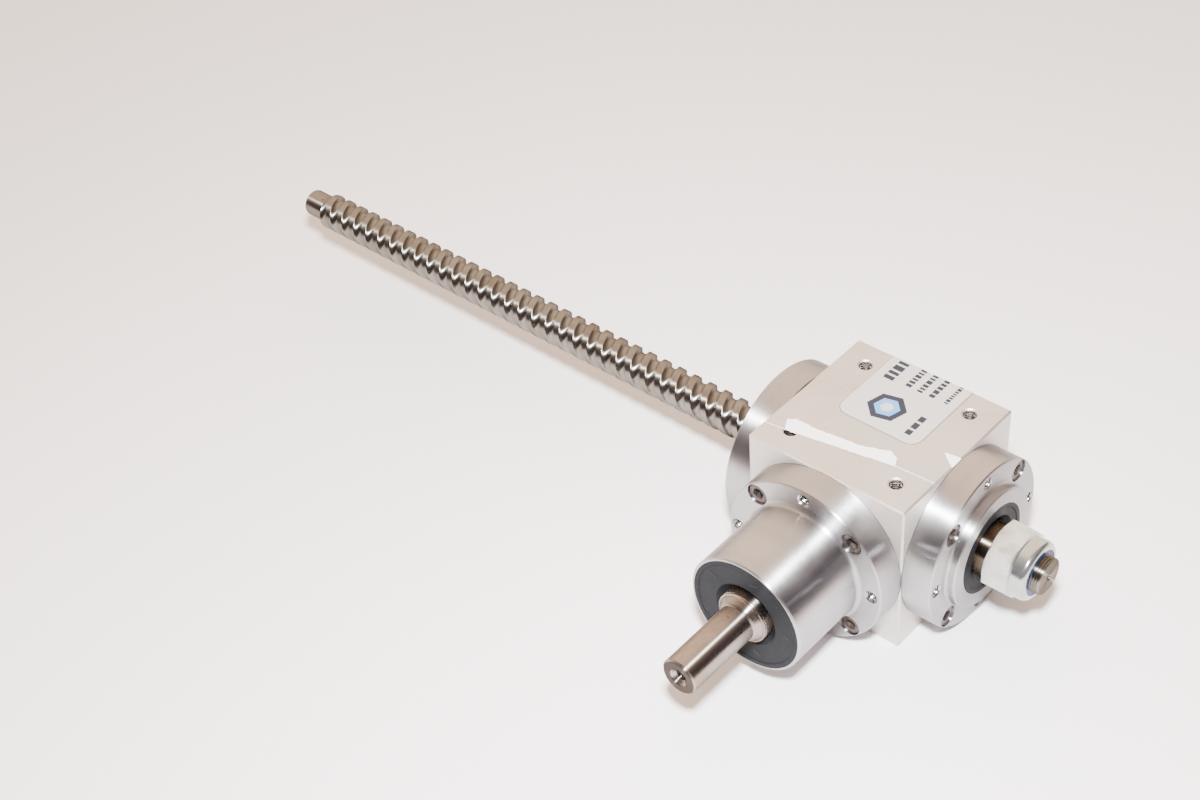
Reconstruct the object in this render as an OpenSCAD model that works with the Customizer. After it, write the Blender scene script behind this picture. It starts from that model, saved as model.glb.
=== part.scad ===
// Right-angle bevel gearbox with a ball screw clamped through its hollow output shaft.
// The two shaft axes cross at the middle of a cube housing. +X is the screw's axis, from the
// screw's free tip towards the lock nut, -Y is the input shaft's direction and +Z is up.
// The origin is the middle of the housing's bottom face.

/* [Housing] */
// Edge of the cube housing
housing_size = 65; // [64:0.5:68]
// Width of the broken edges
edge_break = 0.6; // [0.2:0.1:1]
// Distance between the tapped holes of a face's square pattern
face_hole_spacing = 44; // [42:0.5:46]
// Tapping size of the face holes
face_hole_d = 5; // [4:0.1:6]
// Depth of the face holes
face_hole_depth = 9.5; // [7:0.5:9.5]

/* [Flanges] */
// Thickness of a flange outside the housing
flange_t = 11.6; // [10:0.2:13]
// Diameter of the boss on an output flange
boss_d = 46.2; // [44:0.2:48]
// Height of the boss on an output flange
boss_h = 3.5; // [2:0.5:4]
// Distance from the crossing point to the end of the input nose
nose_end = 76.5; // [76:0.5:80]
// Circle of the socket screws
screw_circle_d = 56; // [55.5:0.1:56.5]
// Circle of the tapped holes in a flange's face
tapped_circle_d = 57; // [56.5:0.1:57.5]

/* [Shafts] */
// Diameter of the input shaft's free end
input_shaft_d = 14; // [12:0.5:16]
// Distance from the crossing point to the input shaft's end
input_shaft_end = 111.5; // [100:0.5:120]
// Half of the hollow output shaft's length
hollow_shaft_half = 50.8; // [50:0.1:52]

/* [Ball screw] */
// Outer diameter of the ball thread
screw_d = 15.3; // [14.8:0.1:16]
// Advance in one turn
lead = 15; // [14:0.5:20]
// Number of separate grooves
starts = 2; // [1:1:2]
// Depth of a ball groove
groove_depth = 1.7; // [1.4:0.05:1.8]
// Radius of a ball groove's section
groove_r = 2.05; // [1.95:0.05:2.2]
// Distance from the crossing point to the far end of the thread
thread_far_end = 291.5; // [200:0.5:320]
// Diameter of the journal at the free tip
tip_d = 11.5; // [10.5:0.5:11.5]
// Length of the journal at the free tip
tip_len = 11; // [8:0.5:20]
// Diameter of the journal inside the hollow shaft, and of the thread at its end
journal_d = 14; // [13.6:0.1:14]

/* [Lock nut] */
// Width across the nut's flats
nut_flats = 24; // [22:0.5:25]
// Height of the nut with its collar
nut_h = 16; // [15:0.5:17]
// Length of screw that stands out of the nut
screw_stub = 3.4; // [2:0.2:6]

/* [Bevel gears] */
// Turn of a tooth from one end to the other
spiral_angle = 16; // [0:1:18]

/* [Hidden] */

$fn = 96;
tiny = 0.01;
half = housing_size / 2;
axis_z = half;
flange_face = half + flange_t;
boss_face = flange_face + boss_h;

// Spigots and bores
spigot_r = 24;
spigot_in = 26.2;
chamber_back = 24.5;

// Ball bearings, 20 x 42 x 12
bearing_w = 12;
bearing_or = 21;
seat_r = 10;
ball_r = 3.175;
ball_circle_r = 15.5;
ball_count = 9;
ball_clearance = 0.045;
race_r = ball_r + ball_clearance;
inner_ring_r = 13.3;
outer_ring_r = 17.7;
cage_in_r = 14.3;
cage_out_r = 16.7;
cage_w = 9;
pocket_r = 3.3;
output_bearing_at = 26.7;
input_inner_at = 34;
input_outer_at = 57;
lip_r = 19;

// Circlips beside the outer input bearing
circlip_at = input_outer_at + bearing_w;
circlip_t = 1.2;
circlip_groove = 0.8;
circlip_w = 1.8;

// Seals
seal_lip_r = seat_r + 0.05;
output_seal_r = 17.5;
output_seal_t = 7;
input_seal_r = 22.1;
input_seal_t = 6;
seal_window_r = 12;

// Socket screws and tapped holes of the flanges
head_r = 4.0;
head_h = 4.6;
head_seat = 5.2;
counterbore_r = 4.2;
shank_r = 2.5;
shank_hole_r = 2.75;
screw_in_housing = 7.4;
screw_end_gap = 0.4;
head_edge = 0.4;
socket_flats = 4;
socket_depth = 2.4;
flange_tap_r = 2.1;
flange_tap_depth = 8;

// O-rings in the spigots' grooves
o_ring_at = 29.6;
o_ring_r = 0.65;
o_groove_w = 2.2;

// Bevel gears: sections square to the axis, drawn at gear_big from the crossing point
gear_teeth = 20;
gear_big = 19;
gear_small = 13.4;
module_size = 2;
cone_distance = 20 * sqrt(2);
addendum_angle = atan(module_size / cone_distance);
dedendum_angle = atan(1.25 * module_size / cone_distance);
gear_tip_r = gear_big * tan(45 + addendum_angle);
gear_root_r = gear_big * tan(45 - dedendum_angle);
tooth_pitch_angle = 360 / gear_teeth;
tooth_fill = 0.84;
gear_slices = 6;
hub_r = 12.5;
pinion_bore_r = 8;
pinion_back = 24.2;
hollow_shoulder_r = 11.8;
key_w = 4;
pinion_key_in = 5.8;
pinion_keyway_r = 9.8;
pinion_key_at = 15.4;
pinion_key_len = 8;
gear_key_w = 5;
gear_key_in = 8.5;
gear_key_out = 11.6;
gear_key_len = 7;
screw_key_in = 5.2;
screw_key_out = 8.3;
screw_key_at = 28;
screw_key_len = 16;
screw_keyway_r = 8.6;

// Input shaft outside the seal
ring_groove_at = 77.3;
shoulder_end = 78.2;
collar_end = 80.8;
shaft_hole_r = 2.1;
shaft_hole_depth = 12;
countersink_r = 3.7;
countersink_depth = 1.6;

// Label
label_w = 33.4;
label_near = -3.6;
label_r = 4.5;
label_t = 0.2;

// Ball thread
screw_r = screw_d / 2;
pitch = lead / starts;
helix_angle = atan(lead / (PI * screw_d));
groove_half_w = sqrt(pow(groove_r, 2) - pow(groove_r - groove_depth, 2)) / cos(helix_angle);
thread_near_end = 54;
thread_in_collar = 0.5;
thread_len = thread_far_end - thread_near_end + thread_in_collar;
collar_r = screw_r + 0.05;
tip_into_thread = 0.05;
core_r = 5;
core_into_thread = 2;
centre_hole_r = 1.4;
centre_hole_depth = 3;
slices_per_turn = 12;
land_angle_at_tip = 94;
groove_steps = [-1, -0.6, -0.2, 0.2, 0.6, 1];
land_steps = [0.25, 0.5, 0.75];
journal_r = journal_d / 2;
journal_gap = 0.01;
nut_face = hollow_shaft_half;
nut_hex_h = 10.4;
insert_r = 8.75;
insert_h = 4.6;
insert_below_top = 0.15;
screw_end = nut_face + nut_h + screw_stub;

// Frames: local +Z runs along the named direction, from the crossing point of the axes
module along_x() { translate([0, 0, axis_z]) rotate([0, 90, 0]) children(); }
module along_minus_x() { translate([0, 0, axis_z]) rotate([0, -90, 0]) children(); }
module along_minus_y() { translate([0, 0, axis_z]) rotate([90, 0, 0]) children(); }

// A ring or disc between two distances, with an optional bore
module turned(from, to, r, bore = 0) {
    translate([0, 0, from])
        difference() {
            cylinder(r = r, h = to - from);
            if (bore > 0) translate([0, 0, -1]) cylinder(r = bore, h = to - from + 2);
        }
}

// A drill with a countersunk mouth, pointing down from z = 0
module tapped_hole(r, depth) {
    translate([0, 0, -depth]) cylinder(r = r, h = depth + 1);
    translate([0, 0, -0.5]) cylinder(r1 = r, r2 = r + 1, h = 1);
}

module square_pattern(spacing) {
    for (sx = [-1, 1], sy = [-1, 1]) translate([sx * spacing / 2, sy * spacing / 2, 0]) children();
}

module ring_pattern(circle_d, first) {
    for (i = [0:3]) rotate([0, 0, first + 90 * i]) translate([circle_d / 2, 0, 0]) children();
}

// ---------------------------------------------------------------- housing

module edge_broken_square() {
    c = edge_break;
    h = half;
    polygon([[-h + c, -h], [h - c, -h], [h, -h + c], [h, h - c],
             [h - c, h], [-h + c, h], [-h, h - c], [-h, -h + c]]);
}

module broken_cube() {
    translate([0, 0, axis_z])
        intersection() {
            linear_extrude(height = housing_size, center = true) edge_broken_square();
            rotate([90, 0, 0]) linear_extrude(height = housing_size, center = true) edge_broken_square();
            rotate([0, 90, 0]) linear_extrude(height = housing_size, center = true) edge_broken_square();
        }
}

module flange_screw_holes() {
    translate([0, 0, half - screw_in_housing])
        ring_pattern(screw_circle_d, 45) cylinder(r = shank_r, h = screw_in_housing + 1);
}

module housing() {
    color([0.80, 0.78, 0.76])
        difference() {
            broken_cube();
            along_x() translate([0, 0, -half - 1]) cylinder(r = spigot_r, h = housing_size + 2);
            along_minus_y() translate([0, 0, -chamber_back]) cylinder(r = spigot_r, h = half + chamber_back + 1);
            along_x() flange_screw_holes();
            along_minus_x() flange_screw_holes();
            along_minus_y() flange_screw_holes();
            translate([0, 0, housing_size])
                square_pattern(face_hole_spacing) tapped_hole(face_hole_d / 2, face_hole_depth);
            rotate([180, 0, 0]) square_pattern(face_hole_spacing) tapped_hole(face_hole_d / 2, face_hole_depth);
            translate([0, half, axis_z]) rotate([-90, 0, 0])
                square_pattern(face_hole_spacing) tapped_hole(face_hole_d / 2, face_hole_depth - 2);
        }
}

// ---------------------------------------------------------------- flanges

// Half section of an output flange: x is the radius, y the distance from the crossing point
module output_flange_section() {
    seal_seat = boss_face - output_seal_t;
    bearing_stop = output_bearing_at + bearing_w;
    c = 0.5;
    f = 1.2;
    difference() {
        union() {
            polygon([[bearing_or, spigot_in], [spigot_r - c, spigot_in], [spigot_r, spigot_in + c],
                     [spigot_r, half], [half, half], [half, flange_face - c], [half - c, flange_face],
                     [boss_d / 2, flange_face], [boss_d / 2, boss_face - c],
                     [boss_d / 2 - c, boss_face], [output_seal_r, boss_face],
                     [output_seal_r, seal_seat], [bearing_or - 5, seal_seat],
                     [bearing_or - 5, bearing_stop], [bearing_or, bearing_stop]]);
            translate([boss_d / 2 - tiny, flange_face - tiny])
                difference() {
                    square(f);
                    translate([f, f]) circle(r = f);
                }
        }
        o_groove_section();
    }
}

module o_groove_section() {
    translate([spigot_r - 2 * o_ring_r, o_ring_at - o_groove_w / 2]) square([2 * o_ring_r + 1, o_groove_w]);
}

// The counterbored clearance holes and the tapped holes in a flange's outer face
module flange_face_holes() {
    translate([0, 0, flange_face])
        ring_pattern(screw_circle_d, 45) {
            translate([0, 0, -flange_t - 1]) cylinder(r = shank_hole_r, h = flange_t + 2);
            translate([0, 0, -head_seat]) cylinder(r = counterbore_r, h = head_seat + 1);
        }
    translate([0, 0, flange_face])
        ring_pattern(tapped_circle_d, 0) tapped_hole(flange_tap_r, flange_tap_depth);
}

module output_flange() {
    difference() {
        rotate_extrude() output_flange_section();
        flange_face_holes();
    }
}

module output_flange_front() { color([0.80, 0.78, 0.76]) along_x() output_flange(); }

module output_flange_rear() { color([0.80, 0.78, 0.76]) along_minus_x() output_flange(); }

// Half section of the nosed input flange
module input_flange_section() {
    seal_seat = nose_end - input_seal_t;
    inner_stop = input_inner_at + bearing_w;
    c = 0.5;
    f = 1.8;
    nose_r = boss_d / 2 + 0.05;
    difference() {
        union() {
            polygon([[bearing_or, spigot_in], [spigot_r - c, spigot_in], [spigot_r, spigot_in + c],
                     [spigot_r, half], [half, half], [half, flange_face - c], [half - c, flange_face],
                     [nose_r, flange_face], [nose_r, nose_end - c], [nose_r - c, nose_end],
                     [input_seal_r, nose_end], [input_seal_r, seal_seat], [bearing_or, seal_seat],
                     [bearing_or, input_outer_at], [lip_r, input_outer_at],
                     [lip_r, inner_stop], [bearing_or, inner_stop]]);
            translate([nose_r - tiny, flange_face - tiny])
                difference() {
                    square(f);
                    translate([f, f]) circle(r = f);
                }
        }
        o_groove_section();
        translate([bearing_or - 1, circlip_at]) square([circlip_groove + 1, circlip_t]);
    }
}

module input_flange() {
    color([0.80, 0.78, 0.76])
        along_minus_y()
            difference() {
                rotate_extrude() input_flange_section();
                flange_face_holes();
            }
}

// ---------------------------------------------------------------- flange screws

// Socket head screw with its head's top face at z = 0, pointing down
module socket_screw(reach) {
    difference() {
        union() {
            translate([0, 0, -head_edge]) cylinder(r1 = head_r, r2 = head_r - head_edge, h = head_edge);
            translate([0, 0, -head_h]) cylinder(r = head_r, h = head_h - head_edge);
            translate([0, 0, -reach]) cylinder(r = shank_r, h = reach - head_h);
        }
        translate([0, 0, -socket_depth]) cylinder(d = socket_flats / cos(30), h = socket_depth + 1, $fn = 6);
    }
}

module flange_screws() {
    head_top = flange_face - head_seat + head_h;
    reach = head_top - half + screw_in_housing - screw_end_gap;
    translate([0, 0, head_top]) ring_pattern(screw_circle_d, 45) socket_screw(reach);
}

module input_flange_screws() { color([0.10, 0.09, 0.09]) along_minus_y() flange_screws(); }

module output_front_screws() { color([0.10, 0.09, 0.09]) along_x() flange_screws(); }

module output_rear_screws() { color([0.10, 0.09, 0.09]) along_minus_x() flange_screws(); }

// ---------------------------------------------------------------- O-rings and seals

module o_ring() {
    rotate_extrude() translate([spigot_r - o_ring_r, o_ring_at]) circle(r = o_ring_r, $fn = 32);
}

module input_o_ring() { color([0.07, 0.07, 0.07]) along_minus_y() o_ring(); }

module output_front_o_ring() { color([0.07, 0.07, 0.07]) along_x() o_ring(); }

module output_rear_o_ring() { color([0.07, 0.07, 0.07]) along_minus_x() o_ring(); }

// Rotary shaft seal: its outer wall, its outer face and the lip that leans on the shaft
module shaft_seal(outer_r, back, face) {
    wall = 1.6;
    plate = 1.4;
    recess = 0.3;
    lip_at = face - 3.2;
    rotate_extrude()
        polygon([[outer_r, back], [outer_r, face], [outer_r - wall, face],
                 [outer_r - wall - 0.4, face - recess], [seal_window_r + 0.6, face - recess],
                 [seal_window_r, face - recess - 0.6], [seal_lip_r, lip_at + 0.5],
                 [seal_lip_r, lip_at - 0.5], [seal_window_r + 0.4, face - recess - plate - 1.2],
                 [seal_window_r + 1.2, face - recess - plate], [outer_r - wall, face - recess - plate],
                 [outer_r - wall, back]]);
}

module input_seal() {
    color([0.16, 0.16, 0.17]) along_minus_y() shaft_seal(input_seal_r, nose_end - input_seal_t, nose_end);
}

module output_seal() { shaft_seal(output_seal_r, boss_face - output_seal_t, boss_face); }

module output_front_seal() { color([0.16, 0.16, 0.17]) along_x() output_seal(); }

module output_rear_seal() { color([0.16, 0.16, 0.17]) along_minus_x() output_seal(); }

// ---------------------------------------------------------------- label

// Thin rounded sticker on the top face, cut off at the face's far edge
module label() {
    far = half - edge_break;
    color([0.88, 0.87, 0.85])
        translate([0, 0, housing_size])
            linear_extrude(height = label_t)
                union() {
                    translate([-label_w / 2, label_near + label_r]) square([label_w, far - label_near - label_r]);
                    translate([-label_w / 2 + label_r, label_near]) square([label_w - 2 * label_r, label_r]);
                    for (s = [-1, 1])
                        translate([s * (label_w / 2 - label_r), label_near + label_r]) circle(r = label_r);
                }
}

// ---------------------------------------------------------------- input line

module input_shaft() {
    free_r = input_shaft_d / 2;
    c = 0.7;
    color([0.66, 0.63, 0.60])
        along_minus_y()
            difference() {
                rotate_extrude()
                    polygon([[0, gear_small + 0.4], [pinion_bore_r - 0.3, gear_small + 0.4],
                             [pinion_bore_r, gear_small + 0.7], [pinion_bore_r, pinion_back],
                             [hub_r, pinion_back], [hub_r, input_inner_at], [seat_r, input_inner_at],
                             [seat_r, circlip_at], [seat_r - circlip_groove, circlip_at],
                             [seat_r - circlip_groove, circlip_at + circlip_t],
                             [seat_r, circlip_at + circlip_t],
                             [seat_r, ring_groove_at], [seat_r - 0.3, ring_groove_at + 0.15],
                             [seat_r - 0.3, ring_groove_at + 0.4], [seat_r, ring_groove_at + 0.55],
                             [seat_r - 0.1, shoulder_end], [seat_r - 0.7, shoulder_end + 0.1],
                             [seat_r - 0.9, shoulder_end + 0.6], [free_r + 0.9, collar_end - 0.4],
                             [free_r + 0.4, collar_end], [free_r, collar_end + 0.2],
                             [free_r, input_shaft_end - c], [free_r - c, input_shaft_end],
                             [0, input_shaft_end]]);
                translate([0, 0, input_shaft_end - shaft_hole_depth])
                    cylinder(r = shaft_hole_r, h = shaft_hole_depth + 1);
                translate([0, 0, input_shaft_end - countersink_depth])
                    cylinder(r1 = shaft_hole_r, r2 = countersink_r, h = countersink_depth + tiny);
                pinion_key_slot();
            }
}

// The key's seat in the shaft; pinion_key fills it and stands into the pinion's keyway
module pinion_key_slot() {
    translate([-key_w / 2, pinion_key_in, pinion_key_at])
        cube([key_w, pinion_keyway_r - pinion_key_in, pinion_key_len]);
}

module pinion_key() {
    color([0.55, 0.55, 0.56])
        along_minus_y()
            translate([-key_w / 2, pinion_key_in, pinion_key_at])
                cube([key_w, pinion_keyway_r - 0.2 - pinion_key_in, pinion_key_len]);
}

// A spiral follows the distance from the cones' tip, so a tooth's root and tip are turned from its middle
function spiral_lead(r) =
    spiral_angle / (gear_big - gear_small) * (gear_big + gear_small) / 2
    * (1 - sqrt((1 + pow(r / gear_big, 2)) / 2));

// Points of a gear's section: five to a flank, from root to tip and back
function gear_points(hand, first) =
    let (half_tooth = tooth_fill * tooth_pitch_angle / 4,
         flank = [[gear_root_r, 1.5 * half_tooth], [(gear_root_r + gear_big) / 2, 1.25 * half_tooth],
                  [gear_big, half_tooth], [(gear_big + gear_tip_r) / 2, 0.72 * half_tooth],
                  [gear_tip_r, 0.4 * half_tooth]])
    [for (i = [0:gear_teeth - 1], side = [-1, 1], k = [0:4])
        let (p = flank[side < 0 ? k : 4 - k],
             a = first + i * tooth_pitch_angle + side * p[1] - hand * spiral_lead(p[0]))
        p[0] * [cos(a), sin(a)]];

// Bevel gear with its axis along z. The teeth run from gear_big towards the crossing point.
module bevel_gear(hand, first, bore, back) {
    difference() {
        union() {
            translate([0, 0, gear_big])
                mirror([0, 0, 1])
                    linear_extrude(height = gear_big - gear_small, twist = hand * spiral_angle,
                                   scale = gear_small / gear_big, slices = gear_slices)
                        polygon(gear_points(hand, first));
            translate([0, 0, gear_big - tiny]) cylinder(r1 = gear_root_r, r2 = hub_r + 1, h = 3);
            translate([0, 0, gear_big]) cylinder(r = hub_r, h = back - gear_big);
        }
        translate([0, 0, gear_small - 2]) cylinder(r = bore, h = back);
    }
}

module input_pinion() {
    color([0.45, 0.45, 0.47])
        along_minus_y()
            difference() {
                bevel_gear(1, tooth_pitch_angle / 2, pinion_bore_r, pinion_back);
                translate([-key_w / 2, 0, 0]) cube([key_w, pinion_keyway_r, pinion_back + 1]);
            }
}

module input_spacer() {
    color([0.6, 0.6, 0.61])
        along_minus_y() turned(input_inner_at + bearing_w, input_outer_at, seat_r + 2.2, seat_r);
}

// Open ring that sits in a groove; its gap faces local +x
module circlip(in_r, out_r, gap) {
    translate([0, 0, circlip_at])
        difference() {
            cylinder(r = out_r, h = circlip_t);
            translate([0, 0, -1]) cylinder(r = in_r, h = circlip_t + 2);
            translate([0, -gap / 2, -1]) cube([out_r + 1, gap, circlip_t + 2]);
        }
}

module input_shaft_circlip() {
    color([0.2, 0.2, 0.21]) along_minus_y() circlip(seat_r - circlip_groove, seat_r + circlip_w, 4);
}

module input_bore_circlip() {
    color([0.2, 0.2, 0.21]) along_minus_y() circlip(bearing_or - circlip_w, bearing_or + circlip_groove, 7);
}

// ---------------------------------------------------------------- output line

module hollow_shaft() {
    bore = journal_r + journal_gap;
    c = 0.4;
    color([0.62, 0.60, 0.57])
        along_x()
            difference() {
                rotate_extrude()
                    polygon([[bore, -hollow_shaft_half], [seat_r - c, -hollow_shaft_half],
                             [seat_r, -hollow_shaft_half + c], [seat_r, -gear_small],
                             [hollow_shoulder_r, -gear_small], [hollow_shoulder_r, output_bearing_at],
                             [seat_r, output_bearing_at], [seat_r, hollow_shaft_half - c],
                             [seat_r - c, hollow_shaft_half], [bore, hollow_shaft_half]]);
                gear_key_slot();
                translate([0, -key_w / 2, -hollow_shaft_half - 1])
                    cube([screw_keyway_r, key_w, 2 * hollow_shaft_half + 2]);
            }
}

// Flush with the gear's hub end, so the gear slides over it from the bearing's side
module gear_key_slot() {
    translate([-gear_key_out, -gear_key_w / 2, -output_bearing_at])
        cube([gear_key_out - gear_key_in, gear_key_w, gear_key_len]);
}

module gear_key() {
    color([0.55, 0.55, 0.56]) along_x() gear_key_slot();
}

// The key between the hollow shaft and the screw's journal
module screw_key_slot() {
    translate([screw_key_in, -key_w / 2, screw_key_at])
        cube([screw_key_out - screw_key_in, key_w, screw_key_len]);
}

module screw_key() {
    color([0.55, 0.55, 0.56]) along_x() screw_key_slot();
}

module output_gear() {
    color([0.45, 0.45, 0.47])
        along_minus_x()
            difference() {
                bevel_gear(-1, 0, seat_r, output_bearing_at);
                rotate([0, 180, 0]) gear_key_slot();
            }
}

// Depth of the groove at an angle from its middle, in the section square to the screw's axis
function groove_at(f) = sqrt(pow(groove_r, 2) - pow(f * groove_half_w * cos(helix_angle), 2))
                        - (groove_r - groove_depth);

// Section of the ball thread: a land and a round groove for each start
function thread_points() =
    let (per_start = 360 / starts,
         groove_half_angle = 360 * groove_half_w / lead,
         land_angle = per_start - 2 * groove_half_angle)
    [for (s = [0:starts - 1], k = [0:len(groove_steps) + len(land_steps) - 1])
        let (in_groove = k < len(groove_steps),
             f = in_groove ? groove_steps[k] : land_steps[k - len(groove_steps)],
             a = s * per_start + per_start / 2
                 + (in_groove ? f * groove_half_angle : groove_half_angle + f * land_angle),
             r = in_groove ? screw_r - groove_at(f) : screw_r)
        r * [cos(a), sin(a)]];

module ball_screw() {
    c = 0.8;
    tip_end = thread_far_end + tip_len;
    color([0.70, 0.67, 0.62])
        along_x()
            difference() {
                union() {
                    translate([0, 0, -thread_far_end])
                        rotate([0, 0, land_angle_at_tip])
                            linear_extrude(height = thread_len, twist = -360 * thread_len / lead,
                                           slices = round(slices_per_turn * thread_len / lead),
                                           $fn = len(thread_points()))
                                polygon(thread_points());
                    rotate_extrude()
                        polygon([[0, -tip_end], [tip_d / 2 - c, -tip_end], [tip_d / 2, -tip_end + c],
                                 [tip_d / 2, -thread_far_end + tip_into_thread],
                                 [core_r, -thread_far_end + tip_into_thread],
                                 [core_r, -thread_far_end + core_into_thread],
                                 [0, -thread_far_end + core_into_thread]]);
                    rotate_extrude()
                        polygon([[0, -thread_near_end], [collar_r, -thread_near_end],
                                 [collar_r, -hollow_shaft_half], [journal_r, -hollow_shaft_half],
                                 [journal_r, screw_end - 0.6], [journal_r - 0.6, screw_end],
                                 [0, screw_end]]);
                }
                screw_key_slot();
                translate([0, 0, screw_end - centre_hole_depth])
                    cylinder(r1 = centre_hole_r / 2, r2 = centre_hole_r, h = centre_hole_depth + tiny);
            }
}

// ---------------------------------------------------------------- lock nut

// Half section that the hexagon is turned down to, with the rounded collar on top
module nut_section() {
    corner_r = nut_flats / 2 / cos(30);
    collar_r = nut_flats / 2 - 0.7;
    mouth_r = 8.75;
    round_r = 2.2;
    polygon([[0, 0], [nut_flats / 2 - 0.6, 0], [corner_r, 1.5], [corner_r, nut_hex_h - 1.3],
             [collar_r, nut_hex_h], [0, nut_hex_h]]);
    translate([0, nut_hex_h - 1]) square([collar_r, nut_h - nut_hex_h + 1 - round_r]);
    square([mouth_r + 0.3, nut_h]);
    translate([0, nut_h - round_r - tiny]) square([collar_r - round_r, round_r + tiny]);
    translate([collar_r - round_r, nut_h - round_r]) circle(r = round_r);
}

module nut_solid() {
    intersection() {
        rotate_extrude() nut_section();
        cylinder(d = nut_flats / cos(30), h = nut_h + 1, $fn = 6);
    }
}

module lock_nut() {
    color([0.78, 0.80, 0.79])
        along_x()
            translate([0, 0, nut_face])
                rotate([0, 0, 40])
                    difference() {
                        nut_solid();
                        translate([0, 0, -1]) cylinder(r = journal_r, h = nut_h + 2);
                        translate([0, 0, -tiny]) cylinder(r1 = journal_r + 0.7, r2 = journal_r, h = 0.7);
                        translate([0, 0, nut_h - insert_h - insert_below_top])
                            cylinder(r = insert_r, h = insert_h + 1);
                    }
}

module lock_nut_insert() {
    color([0.12, 0.16, 0.42])
        along_x()
            translate([0, 0, nut_face + nut_h - insert_h - insert_below_top])
                difference() {
                    cylinder(r = insert_r, h = insert_h);
                    translate([0, 0, -1]) cylinder(r = journal_r, h = insert_h + 2);
                }
}

// ---------------------------------------------------------------- ball bearings

module race_groove() {
    rotate_extrude() translate([ball_circle_r, 0]) circle(r = race_r);
}

module bearing_outer_ring(at) {
    color([0.70, 0.70, 0.71])
        translate([0, 0, at + bearing_w / 2])
            difference() {
                turned(-bearing_w / 2, bearing_w / 2, bearing_or, outer_ring_r);
                race_groove();
            }
}

module bearing_inner_ring(at) {
    color([0.70, 0.70, 0.71])
        translate([0, 0, at + bearing_w / 2])
            difference() {
                turned(-bearing_w / 2, bearing_w / 2, inner_ring_r, seat_r);
                race_groove();
            }
}

module bearing_balls(at) {
    color([0.75, 0.75, 0.76])
        translate([0, 0, at + bearing_w / 2])
            for (i = [0:ball_count - 1])
                rotate([0, 0, 360 / ball_count * i]) translate([ball_circle_r, 0, 0]) sphere(r = ball_r);
}

module bearing_cage(at) {
    color([0.62, 0.50, 0.30])
        translate([0, 0, at + bearing_w / 2])
            difference() {
                turned(-cage_w / 2, cage_w / 2, cage_out_r, cage_in_r);
                for (i = [0:ball_count - 1])
                    rotate([0, 0, 360 / ball_count * i])
                        translate([cage_in_r - 1, 0, 0])
                            rotate([0, 90, 0]) cylinder(r = pocket_r, h = cage_out_r - cage_in_r + 2);
            }
}

module input_inner_bearing_outer_ring() { along_minus_y() bearing_outer_ring(input_inner_at); }
module input_inner_bearing_inner_ring() { along_minus_y() bearing_inner_ring(input_inner_at); }
module input_inner_bearing_balls() { along_minus_y() bearing_balls(input_inner_at); }
module input_inner_bearing_cage() { along_minus_y() bearing_cage(input_inner_at); }
module input_outer_bearing_outer_ring() { along_minus_y() bearing_outer_ring(input_outer_at); }
module input_outer_bearing_inner_ring() { along_minus_y() bearing_inner_ring(input_outer_at); }
module input_outer_bearing_balls() { along_minus_y() bearing_balls(input_outer_at); }
module input_outer_bearing_cage() { along_minus_y() bearing_cage(input_outer_at); }
module output_front_bearing_outer_ring() { along_x() bearing_outer_ring(output_bearing_at); }
module output_front_bearing_inner_ring() { along_x() bearing_inner_ring(output_bearing_at); }
module output_front_bearing_balls() { along_x() bearing_balls(output_bearing_at); }
module output_front_bearing_cage() { along_x() bearing_cage(output_bearing_at); }
module output_rear_bearing_outer_ring() { along_minus_x() bearing_outer_ring(output_bearing_at); }
module output_rear_bearing_inner_ring() { along_minus_x() bearing_inner_ring(output_bearing_at); }
module output_rear_bearing_balls() { along_minus_x() bearing_balls(output_bearing_at); }
module output_rear_bearing_cage() { along_minus_x() bearing_cage(output_bearing_at); }

housing();
input_flange();
output_flange_front();
output_flange_rear();
input_flange_screws();
output_front_screws();
output_rear_screws();
input_o_ring();
output_front_o_ring();
output_rear_o_ring();
input_seal();
output_front_seal();
output_rear_seal();
label();
input_shaft();
input_pinion();
pinion_key();
input_spacer();
input_shaft_circlip();
input_bore_circlip();
hollow_shaft();
output_gear();
gear_key();
ball_screw();
screw_key();
lock_nut();
lock_nut_insert();
input_inner_bearing_outer_ring();
input_inner_bearing_inner_ring();
input_inner_bearing_balls();
input_inner_bearing_cage();
input_outer_bearing_outer_ring();
input_outer_bearing_inner_ring();
input_outer_bearing_balls();
input_outer_bearing_cage();
output_front_bearing_outer_ring();
output_front_bearing_inner_ring();
output_front_bearing_balls();
output_front_bearing_cage();
output_rear_bearing_outer_ring();
output_rear_bearing_inner_ring();
output_rear_bearing_balls();
output_rear_bearing_cage();
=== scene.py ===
"""Ball screw drive with right-angle bevel gearbox: finishes, fine detail, light and camera."""
import bmesh, bpy, math, random
from math import radians, sin, cos, pi
from mathutils import Vector, Matrix


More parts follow.
